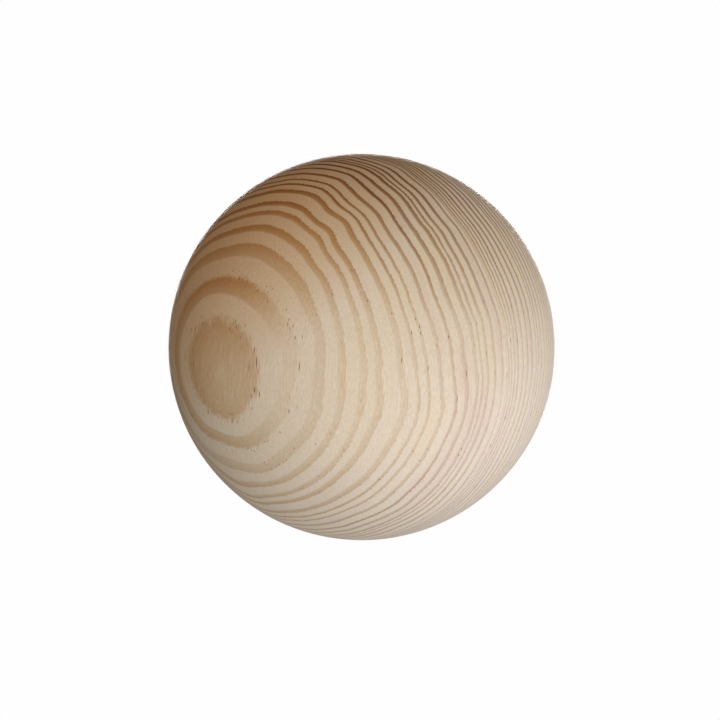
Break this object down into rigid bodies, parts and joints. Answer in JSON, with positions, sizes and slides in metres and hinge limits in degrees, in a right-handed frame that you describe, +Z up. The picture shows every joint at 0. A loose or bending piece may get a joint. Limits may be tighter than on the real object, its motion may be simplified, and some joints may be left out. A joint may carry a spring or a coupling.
{
  "type": "wooden ball",
  "caption": "Plain solid pine ball, turned and sanded to a true sphere, with bold growth rings round one side.",
  "frame": {"origin": "centre of the ball", "axes": "+Z up, almost along the fibres of the wood; -Y towards the viewer and +X to the viewer's right, with the middle of the growth rings on the side that faces -X and -Y"},
  "size_m": [0.1, 0.1, 0.1],
  "materials": {
    "pine": "bare pine, sanded smooth, with no oil, stain or lacquer: matt with a faint silk"
  },
  "bodies": {
    "root": {"ball": "pine"}
  },
  "joints": []
}
